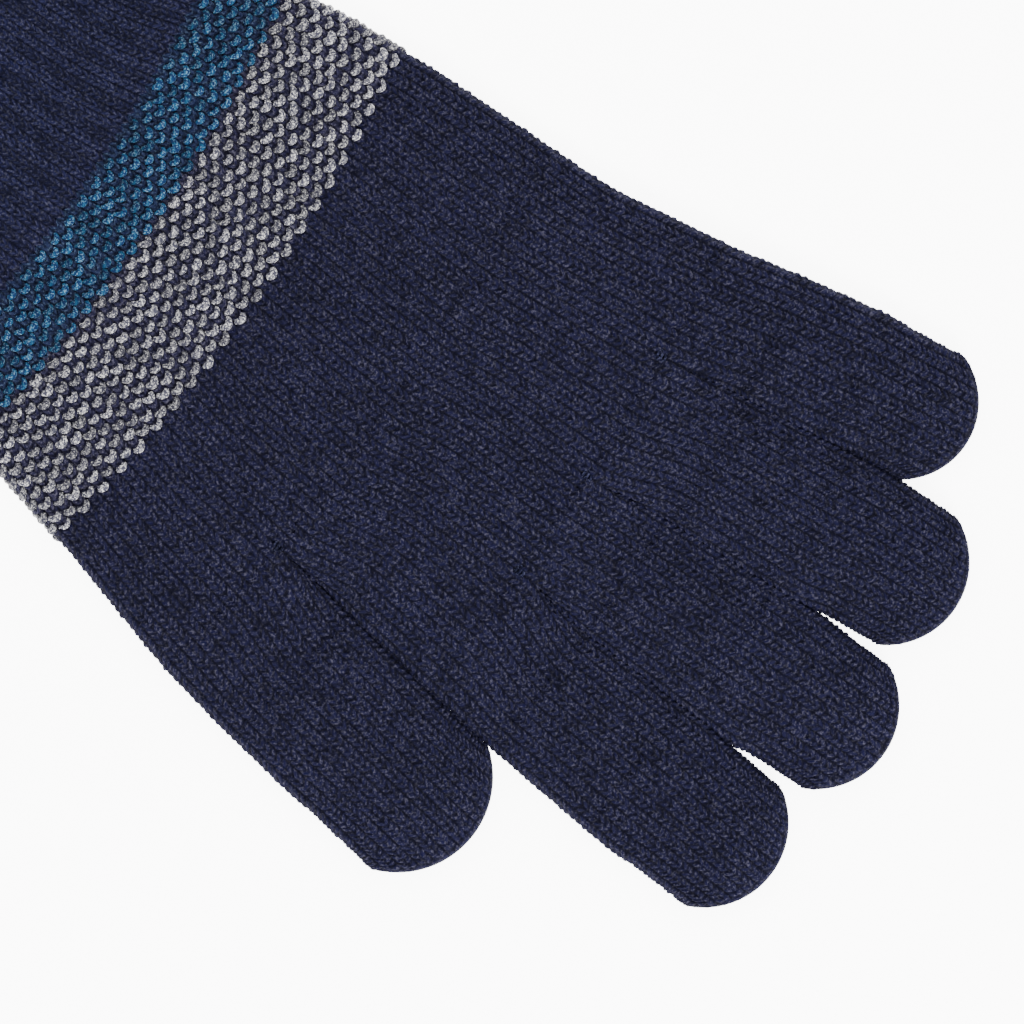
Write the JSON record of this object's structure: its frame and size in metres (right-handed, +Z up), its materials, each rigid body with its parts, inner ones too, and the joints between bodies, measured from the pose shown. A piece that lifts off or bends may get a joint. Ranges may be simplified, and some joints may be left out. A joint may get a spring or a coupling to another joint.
{
  "type": "knitted glove",
  "caption": "Knitted five-finger glove laid flat, palm up: plain hand, two dotted wrist bands, long rib cuff, and fingers, thumb and wrist that fold",
  "frame": {"origin": "on the underside, at the middle of the wrist, where the grey band ends and the plain hand begins", "axes": "+Y runs from the cuff to the fingertips, +Z points up out of the palm side, +X points to the thumb"},
  "size_m": [0.1324, 0.2373, 0.0086],
  "materials": {
    "navy_knit": "heathered navy plain knit, matt and slightly fuzzy",
    "navy_rib": "heathered navy rib knit, matt and slightly fuzzy",
    "grey_knit": "raised light-grey loops on a navy knit ground",
    "teal_knit": "raised teal loops on a navy knit ground",
    "navy_thread": "navy sewing yarn",
    "elastic": "yarn-covered elastic thread"
  },
  "bodies": {
    "palm": {"hand": "navy_knit", "grey_band": "grey_knit", "teal_band": "teal_knit", "little_ring_tack": "navy_thread", "ring_middle_tack": "navy_thread", "middle_index_tack": "navy_thread", "index_thumb_tack": "navy_thread"},
    "cuff": {"rib_cuff": "navy_rib", "cuff_welt": "navy_rib", "cuff_elastic_threads": "elastic"},
    "little_base": {"little_base": "navy_knit"},
    "little_middle": {"little_middle": "navy_knit"},
    "little_tip": {"little_tip": "navy_knit"},
    "ring_base": {"ring_base": "navy_knit"},
    "ring_middle": {"ring_middle": "navy_knit"},
    "ring_tip": {"ring_tip": "navy_knit"},
    "middle_base": {"middle_base": "navy_knit"},
    "middle_middle": {"middle_middle": "navy_knit"},
    "middle_tip": {"middle_tip": "navy_knit"},
    "index_base": {"index_base": "navy_knit"},
    "index_middle": {"index_middle": "navy_knit"},
    "index_tip": {"index_tip": "navy_knit"},
    "thumb_base": {"thumb_base": "navy_knit"},
    "thumb_tip": {"thumb_tip": "navy_knit"}
  },
  "joints": [
    {"name": "wrist_fold", "type": "hinge", "parent": "palm", "child": "cuff", "pos_m": [0, -0.0375, 0.0086], "axis": [-1, 0, 0], "range_deg": [0, 80]},
    {"name": "little_base_fold", "type": "hinge", "parent": "palm", "child": "little_base", "pos_m": [-0.0483, 0.064, 0.0086], "axis": [1, 0, 0], "range_deg": [0, 80]},
    {"name": "little_middle_fold", "type": "hinge", "parent": "little_base", "child": "little_middle", "pos_m": [-0.0483, 0.084, 0.0086], "axis": [1, 0, 0], "range_deg": [0, 95]},
    {"name": "little_end_fold", "type": "hinge", "parent": "little_middle", "child": "little_tip", "pos_m": [-0.0483, 0.0995, 0.0086], "axis": [1, 0, 0], "range_deg": [0, 60]},
    {"name": "ring_base_fold", "type": "hinge", "parent": "palm", "child": "ring_base", "pos_m": [-0.0248, 0.064, 0.0086], "axis": [1, 0, 0], "range_deg": [0, 80]},
    {"name": "ring_middle_fold", "type": "hinge", "parent": "ring_base", "child": "ring_middle", "pos_m": [-0.0248, 0.091, 0.0086], "axis": [1, 0, 0], "range_deg": [0, 95]},
    {"name": "ring_end_fold", "type": "hinge", "parent": "ring_middle", "child": "ring_tip", "pos_m": [-0.0248, 0.1105, 0.0086], "axis": [1, 0, 0], "range_deg": [0, 60]},
    {"name": "middle_base_fold", "type": "hinge", "parent": "palm", "child": "middle_base", "pos_m": [-0.0011, 0.064, 0.0086], "axis": [1, 0, 0], "range_deg": [0, 80]},
    {"name": "middle_middle_fold", "type": "hinge", "parent": "middle_base", "child": "middle_middle", "pos_m": [-0.0011, 0.093, 0.0086], "axis": [1, 0, 0], "range_deg": [0, 95]},
    {"name": "middle_end_fold", "type": "hinge", "parent": "middle_middle", "child": "middle_tip", "pos_m": [-0.0011, 0.114, 0.0086], "axis": [1, 0, 0], "range_deg": [0, 60]},
    {"name": "index_base_fold", "type": "hinge", "parent": "palm", "child": "index_base", "pos_m": [0.0229, 0.064, 0.0086], "axis": [1, 0, 0], "range_deg": [0, 80]},
    {"name": "index_middle_fold", "type": "hinge", "parent": "index_base", "child": "index_middle", "pos_m": [0.0229, 0.091, 0.0086], "axis": [1, 0, 0], "range_deg": [0, 95]},
    {"name": "index_end_fold", "type": "hinge", "parent": "index_middle", "child": "index_tip", "pos_m": [0.0229, 0.111, 0.0086], "axis": [1, 0, 0], "range_deg": [0, 60]},
    {"name": "thumb_base_fold", "type": "hinge", "parent": "palm", "child": "thumb_base", "pos_m": [0.04482, 0.0257, 0.0086], "axis": [0.9877, -0.1564, 0], "range_deg": [0, 100]},
    {"name": "thumb_end_fold", "type": "hinge", "parent": "thumb_base", "child": "thumb_tip", "pos_m": [0.04967, 0.05632, 0.0086], "axis": [0.9877, -0.1564, 0], "range_deg": [0, 60]}
  ]
}
